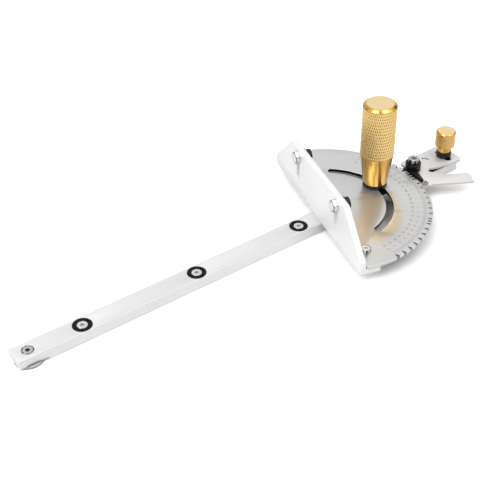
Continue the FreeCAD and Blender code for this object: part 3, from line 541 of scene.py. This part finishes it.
def hexTurning(name, rows, node, finish, closed=True):
    # rows of (shape, radius, depth, lean, grime and painted shade) along the fence's own normal: a round row is a
    # circle, a hexagonal one has radius / cos(angle from the middle of its flat), and leans back there by a cone of
    # 30 degrees
    normal, side, up = (np.array(way) for way in (outOfFence, alongFence, upward))
    middle = np.mean(spanOf(node, side)) * side + np.mean(spanOf(node, up)) * up
    angle = np.linspace(0, 2 * np.pi, fasteners["steps"], endpoint=False)
    wide = 1 / np.cos(angle % (np.pi / 3) - np.pi / 6)
    fromCorner = np.abs((angle + np.pi / 6) % (np.pi / 3) - np.pi / 6)
    corner = np.clip(1 - fromCorner / math.radians(fasteners["corner"]), 0, 1)
    grid, grimeAndShade = [], []
    for shape, radius, depth, lean, dirtAndShade in rows:
        reach = radius * (wide if shape == "hex" else np.ones_like(angle))
        back = depth - lean * (reach - radius) * math.tan(math.pi / 6)
        grid.append(middle + reach[:, None] * (np.cos(angle)[:, None] * up + np.sin(angle)[:, None] * side)
                    + back[:, None] * normal)
        grimeAndShade.append(np.maximum(dirtAndShade, corner) if shape == "hex" else np.full_like(angle, dirtAndShade))
    piece = makePiece(name, grid, gridFaces(len(rows), len(angle), wrapRows=not closed), finish,
                      frame["nodes"][node]["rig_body"], slotOf[node], 20, {"edge": grimeAndShade})
    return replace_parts(piece, node)


def makeFasteners(side):
    half, shank, end, lip, line = (fasteners[k] for k in ("flats", "shank", "end", "lip", "line"))
    half = half / 2
    crown = half * fasteners["crown"]
    back, front = spanOf("fence_bolt_" + side, outOfFence)
    seat = front - fasteners["head"] + fasteners["gap"]
    bolt = [("round", 0, front, 0, 0.3),
            ("round", fasteners["dish"], front, 0, 0),
            ("round", crown - line, front, 0, 0),
            ("round", crown, front, 0, 1),
            ("hex", half, front - lip, 1, 1),
            ("hex", half, front - lip - line, 0, 0),
            ("hex", half, seat + fasteners["foot"], 0, 0),
            ("hex", half, seat, 0, 1),
            ("round", shank, seat, 0, 1),
            ("round", shank, back + end, 0, 0.5),
            ("round", shank - end, back, 0, 0),
            ("round", 0, back, 0, 0)]
    hexTurning("bolt_" + side, bolt, "fence_bolt_" + side, zinc)
    back, front = spanOf("fence_nut_" + side, outOfFence)
    out, deep = fasteners["mouth"]
    nut = [("round", shank, front - deep, 0, 0),
           ("round", shank + out, front, 0, 0),
           ("round", crown, front, 0, 0),
           ("hex", half, front - lip, 1, 0),
           ("hex", half, back + lip, -1, 0),
           ("round", crown, back, 0, 0),
           ("round", shank + out, back, 0, 0),
           ("round", shank, back + deep, 0, 0)]
    hexTurning("nut_" + side, nut, "fence_nut_" + side, blackMetal, closed=False)


makeFasteners("near")
makeFasteners("far")
print("bolts and nuts made")


# ---- gold handle and knob, with their knurled bands

grip = {"around": 50, "rows": 8, "fine": 5, "fineUp": 10, "depth": 0.6, "low": 50.5, "edge": 2.6, "wide": 14.7,
        "foot": 10.6, "flat": 12.0, "bevel": 2.0, "bore": 3.05, "boreDepth": 26, "lead": (0.35, 1.6), "rim": 0.1,
        "faceStart": 1.0, "soft": (0.5, 0.4)}
knob = {"around": 40, "rows": 4, "fine": 4, "fineUp": 8, "depth": 0.4, "edge": 1.9, "wide": 8.9, "neck": 6.35,
        "neckHeight": 4.8, "cone": 1.0, "bevel": 1.0, "bore": 3.05, "boreDepth": 15, "lead": 0.6, "faceStart": 0.6,
        "soft": (0.3, 0.3)}
knurl = {"alone": 0.25, "both": 0.75, "depthPower": 1.4, "pitPower": 1.6, "fade": 0.9, "faceWithin": 0.02}


def knurlPits(turns, rise):
    # two sets of helical grooves run at turns + rise and turns - rise whole numbers; a groove's closeness goes from 0
    # midway to 1 on it, and the two give the depth (the nearer one, and more where both meet) and the pits
    first, second = (np.abs(way % 1.0 - 0.5) * 2 for way in (turns + rise, turns - rise))
    both = first * second
    depth = knurl["alone"] * np.maximum(first, second) + knurl["both"] * both ** knurl["depthPower"]
    return depth, both ** knurl["pitPower"]


def knurledTurning(name, under, over, centre, setting, finish, body, node):
    # one turned skin: a plain run up to the knurled band, the band itself, and a plain run on to the faced end
    (wide, low), high = under[-1], over[0, 1]
    steps = setting["around"] * 2 * setting["fine"]
    height = np.linspace(low, high, setting["rows"] * 2 * setting["fineUp"] + 1)[:, None]
    angle = np.linspace(0, 2 * np.pi, steps, endpoint=False)[None]
    depth, pits = knurlPits(angle * setting["around"] / (2 * np.pi), (height - low) * setting["rows"] / (high - low))
    fade = np.clip(np.minimum(height - low, high - height) / knurl["fade"], 0, 1)

    def onBand(values):
        # values on the band, and nothing on the plain runs below and above it
        return np.concatenate([np.zeros((len(under) - 1, steps)), values * fade, np.zeros((len(over) - 1, steps))])

    profile = np.concatenate([under[:-1], np.concatenate([np.full_like(height, wide), height], 1), over[1:]])
    reach = profile[:, :1] - onBand(setting["depth"] * depth)
    level = np.broadcast_to(profile[:, 1:], reach.shape)
    points = np.stack([centre[0] + reach * np.cos(angle), centre[1] + reach * np.sin(angle), level], -1)
    faced = (level > level.max() - knurl["faceWithin"]) * 1.0
    # the pits mark where the knurl's dye gathers and its painted shade goes
    marks = {"pitDyeAndShade": onBand(pits), "band": onBand(np.ones_like(pits)), "faced": faced}
    piece = makePiece(name, points, gridFaces(len(profile), steps), finish, body, "gold", 50, marks)
    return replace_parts(piece, node)


def makeGrip():
    centre, base, top = axisOf(*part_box("handle_grip"))
    wide, flat, bore, inside = grip["wide"], grip["flat"], grip["bore"], base + grip["boreDepth"]
    (narrower, lower), (softUnder, softOver) = grip["lead"], grip["soft"]
    under = roundedProfile([(0, inside), (bore, inside), (bore, base), (grip["foot"], base),
                            (wide - narrower, grip["low"] - lower), (wide, grip["low"])], softUnder)
    over = roundedProfile([(wide, top - grip["edge"]), (wide - grip["rim"], top - grip["bevel"]), (flat, top),
                           (flat - grip["faceStart"], top), (0, top)], softOver)
    knurledTurning("handle_skin", under, over, centre, grip, goldHandle, "handle", "handle_grip")


def makeKnob():
    centre, base, top = axisOf(*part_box("index_knob"))
    wide, neck, bore, inside = knob["wide"], knob["neck"], knob["bore"], base + knob["boreDepth"]
    waist = base + knob["neckHeight"]
    shoulder, flat = waist + knob["cone"], wide - knob["bevel"]
    softUnder, softOver = knob["soft"]
    under = roundedProfile([(0, inside), (bore, inside), (bore, base), (neck, base), (neck, waist), (wide, shoulder),
                            (wide, shoulder + knob["lead"])], softUnder)
    over = roundedProfile([(wide, top - knob["edge"]), (wide, top - knob["bevel"]), (flat, top),
                           (flat - knob["faceStart"], top), (0, top)], softOver)
    knurledTurning("knob_skin", under, over, centre, knob, goldKnob, "index_knob", "index_knob")


makeGrip()
makeKnob()
print("handle and knob made")


# ---- the scale on the plate, and the marks on the lever

scale = {"turn": 30.0, "span": 60, "every": 5, "rim": 84.2, "short": 2.8, "middle": 3.8, "long": 5.0,
         "width": 0.30, "raise": 0.02, "rows": ((72.2, 3.5), (77.0, 2.6))}


def makeTicks(top):
    # one line a degree, longer at every fifth and tenth: its outline is centre + a * outward + b * sideways
    degree = np.arange(-scale["span"], scale["span"] + 1)
    length = np.where(degree % 10 == 0, scale["long"], np.where(degree % 5 == 0, scale["middle"], scale["short"]))
    angle = np.radians(scale["turn"] + degree)
    outward = np.stack([-np.cos(angle), np.sin(angle)], 1)[:, None]
    sideways = np.stack([-np.sin(angle), -np.cos(angle)], 1)[:, None]
    centre = outward * (scale["rim"] - length / 2)[:, None, None]
    corner = np.array([(-1, -1), (1, -1), (1, 1), (-1, 1)]) / 2
    flat = centre + corner[:, :1] * length[:, None, None] * outward + corner[:, 1:] * scale["width"] * sideways
    makePiece("scale_ticks", *prisms(flat, top, top + scale["raise"]), inkLine, "head", "black")


def figureMesh(text, size, place):
    # one line of text as a thin solid, centred on its own origin and then put in place
    curve = bpy.data.curves.new("figure", "FONT")
    curve.body = text
    curve.size = size * mm
    curve.extrude = scale["raise"] * mm / 2
    curve.align_x = "CENTER"
    curve.align_y = "CENTER"
    curve.resolution_u = 3
    holder = bpy.data.objects.new("figure", curve)
    bpy.context.scene.collection.objects.link(holder)
    bpy.context.view_layer.update()
    mesh = bpy.data.meshes.new_from_object(holder.evaluated_get(bpy.context.evaluated_depsgraph_get()))
    bpy.data.objects.remove(holder)
    bpy.data.curves.remove(curve)
    mesh.transform(place)
    return mesh


def makeFigures(top):
    # both rows of figures, every fifth degree, with their heads towards the pivot
    joined = bmesh.new()
    for degree in range(-scale["span"], scale["span"] + 1, scale["every"]):
        angle = math.radians(scale["turn"] + degree)
        for (radius, size), shown in zip(scale["rows"], (90 - abs(degree), abs(degree))):
            spot = Vector((-math.cos(angle) * radius, math.sin(angle) * radius, top + scale["raise"] / 2)) * mm
            turn = Matrix.Rotation(1.5 * math.pi - angle, 4, "Z")
            mesh = figureMesh(str(shown), size, Matrix.Translation(spot) @ turn)
            joined.from_mesh(mesh)
            bpy.data.meshes.remove(mesh)
    result = bpy.data.meshes.new("scale_figures")
    bmesh.ops.remove_doubles(joined, verts=joined.verts, dist=1e-7)
    joined.to_mesh(result)
    joined.free()
    linkPiece("scale_figures", result, inkLine, "head")


arrows = {"places": [(-118.9, -7.4), (-121.2, -6.0), (-121.9, -3.8)], "length": 2.2, "width": 3.2, "turn": 145.0,
          "outline": [(0.5, 0), (-0.5, 0.5), (-0.42, 0), (-0.5, -0.5)]}


def makeMarks(top):
    # three short arrow heads on the lever
    turn = math.radians(arrows["turn"])
    along, across = np.array([math.cos(turn), math.sin(turn)]), np.array([-math.sin(turn), math.cos(turn)])
    outline = np.array(arrows["outline"])
    flat = outline[:, :1] * arrows["length"] * along + outline[:, 1:] * arrows["width"] * across
    corners = np.array(arrows["places"])[:, None] + flat
    makePiece("lever_marks", *prisms(corners, top, top + scale["raise"]), inkMark, "index_lever", "black")


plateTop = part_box("protractor_plate")[1].z / mm
makeTicks(plateTop)
makeFigures(plateTop)
makeMarks(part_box("index_lever")[1].z / mm)
print("scale and marks made")


# ---- camera, floor and light

shot = {"focal": 1005.98, "frame": 480, "sensor": 36, "azimuth": 145.47, "elevation": 37.69, "roll": -1.46,
        "place": (462.94, 536.90, 525.96)}


def makeCamera():
    azimuth, elevation, roll = (math.radians(shot[k]) for k in ("azimuth", "elevation", "roll"))
    back = Vector((math.sin(azimuth) * math.cos(elevation), -math.cos(azimuth) * math.cos(elevation),
                   math.sin(elevation)))
    right = Vector(upward).cross(back).normalized()
    up = back.cross(right)
    sideways = right * math.cos(roll) + up * math.sin(roll)
    upwards = up * math.cos(roll) - right * math.sin(roll)
    lens = bpy.data.cameras.new("camera")
    lens.sensor_width = shot["sensor"]
    lens.lens = shot["focal"] / shot["frame"] * shot["sensor"]
    lens.clip_start = 0.01
    lens.clip_end = 20
    camera = bpy.data.objects.new("camera", lens)
    camera.matrix_world = Matrix.Translation(Vector(shot["place"]) * mm) @ Matrix(
        (sideways, upwards, back)).transposed().to_4x4()
    bpy.context.scene.collection.objects.link(camera)
    bpy.context.scene.camera = camera


# the floor's own shade, what the camera sees of it, and the shadow painted where the plate covers it, in mm: round
# its centre, behind a line that the fence never passes, and darker towards the handle
ground = {"half": 6.0, "shade": 0.93, "seen": 1.3, "centre": (-40, 22), "reach": (25, 30), "way": (0.5, 0.866, 0),
          "behind": (3, 12), "fade": (5, 36), "paintedShadow": (0.10, 0.80), "clouds": (3, 2), "change": 0.02}


def makeFloor():
    mesh = bpy.data.meshes.new("floor")
    half = ground["half"]
    mesh.from_pydata([(-half, -half, 0), (half, -half, 0), (half, half, 0), (-half, half, 0)], [], [(0, 1, 2, 3)])
    finish, spot, feed = newFinish("paleFloor", Roughness=0.9, Specular_IOR_Level=0.1)
    under = ((1 - spot.centred(*ground["centre"]).length().rise(*ground["reach"], mm))
             * (1 - spot.along(ground["way"]).rise(*ground["behind"], mm)))
    paintedShadow = spot.along((0, 1, 0)).rise(*ground["fade"], mm).between(*ground["paintedShadow"])
    plain = spot.noise(*ground["clouds"]).between(ground["shade"], ground["shade"] + ground["change"])
    feed(Base_Color=under.between(plain, paintedShadow))
    # the camera alone sees the open floor as white; shadows stay on it, and under the plate it sees the painted
    # shadow
    tree = finish.node_tree
    seen = Wire(tree, tree.nodes.new("ShaderNodeLightPath").outputs["Is Camera Ray"])
    lit = Wire(tree, next(n for n in tree.nodes if n.type == "BSDF_PRINCIPLED").outputs[0])
    white = seen.node("ShaderNodeBsdfDiffuse", {}, {"Color": (*(ground["seen"],) * 3, 1)})
    both = seen.node("ShaderNodeMixShader", {}, {0: seen * (1 - under), 1: lit, 2: white})
    tree.links.new(both.socket, next(n for n in tree.nodes if n.type == "OUTPUT_MATERIAL").inputs["Surface"])
    mesh.materials.append(finish)
    floor = bpy.data.objects.new("floor", mesh)
    bpy.context.scene.collection.objects.link(floor)


# lamps: name, place, what it is aimed at, size and power
lamps = [("key", (0.9, 0.2, 1.3), (0, 0, 0), (0.9, 0.9), 8.0),
         ("fill", (-0.45, 0.75, 1.25), (0, 0, 0), (1.2, 1.2), 4.5),
         ("front", (1.5, -0.2, 0.55), (0, 0, 0.03), (1.2, 0.6), 3.4)]


def addLamp(name, place, aim, size, power):
    lamp = bpy.data.lights.new(name, "AREA")
    lamp.shape = "RECTANGLE"
    lamp.size, lamp.size_y = size
    lamp.energy = power
    holder = bpy.data.objects.new(name, lamp)
    holder.location = place
    holder.rotation_euler = (Vector(aim) - Vector(place)).to_track_quat("-Z", "Y").to_euler()
    bpy.context.scene.collection.objects.link(holder)


# a patch: height, turn, inner and outer reach in degrees, and change of strength
studio = {"diffuse": 0.98, "level": 0.06, "overhead": (0.25, 0.85), "glossy": 0.94,
          "ring": 0.85, "ringStart": (0.02, 0.07), "ringStop": (0.24, 0.40), "ringClouds": (1.7, 1),
          "ringGaps": (0.40, 0.56),
          "patches": [(68.0, 55.5, 7, 12, -0.85), (68.0, -4.5, 8, 13, 4.0), (68.0, 115.5, 8, 13, 4.0),
                      (42.0, 15.0, 8, 16, 2.5), (29.0, -62.5, 7, 13, -0.85), (22.0, 183.0, 8, 15, -0.85)]}


def makeWorld():
    # white all round; shiny surfaces also see a dark broken band low down, and soft boxes and dark patches
    world = bpy.data.worlds.new("studio")
    world.use_nodes = True
    tree = world.node_tree
    sky = next(n for n in tree.nodes if n.type == "BACKGROUND")
    path = tree.nodes.new("ShaderNodeLightPath")
    camera, glossy = Wire(tree, path.outputs["Is Camera Ray"]), Wire(tree, path.outputs["Is Glossy Ray"])
    way = Wire(tree, tree.nodes.new("ShaderNodeTexCoord").outputs["Generated"])
    height = way.node("ShaderNodeSeparateXYZ", {}, {0: way}, 2)
    ring = (height.rise(*studio["ringStart"]) * (1 - height.rise(*studio["ringStop"]))
            * way.noise(*studio["ringClouds"]).rise(*studio["ringGaps"]))
    lit = studio["glossy"] * (1 - ring * studio["ring"])
    for lift, turn, inner, outer, change in studio["patches"]:
        lift, turn, inner, outer = (math.radians(degrees) for degrees in (lift, turn, inner, outer))
        patch = (math.cos(lift) * math.cos(turn), math.cos(lift) * math.sin(turn), math.sin(lift))
        lit = lit + way.along(patch).rise(math.cos(outer), math.cos(inner)) * change
    # plain light comes from overhead, so that little of it reaches under the plate
    soft = studio["diffuse"] * (studio["level"] + (1 - studio["level"]) * height.rise(*studio["overhead"]))
    strength = soft + camera * (1 - soft) + glossy * (lit - soft)
    tree.links.new(strength.socket, sky.inputs["Strength"])
    sky.inputs["Color"].default_value = (1, 1, 1, 1)
    bpy.context.scene.world = world


makeCamera()
makeFloor()
for lamp in lamps:
    addLamp(*lamp)
makeWorld()
bpy.context.scene.view_settings.view_transform = "Standard"
print("camera, floor and light made")
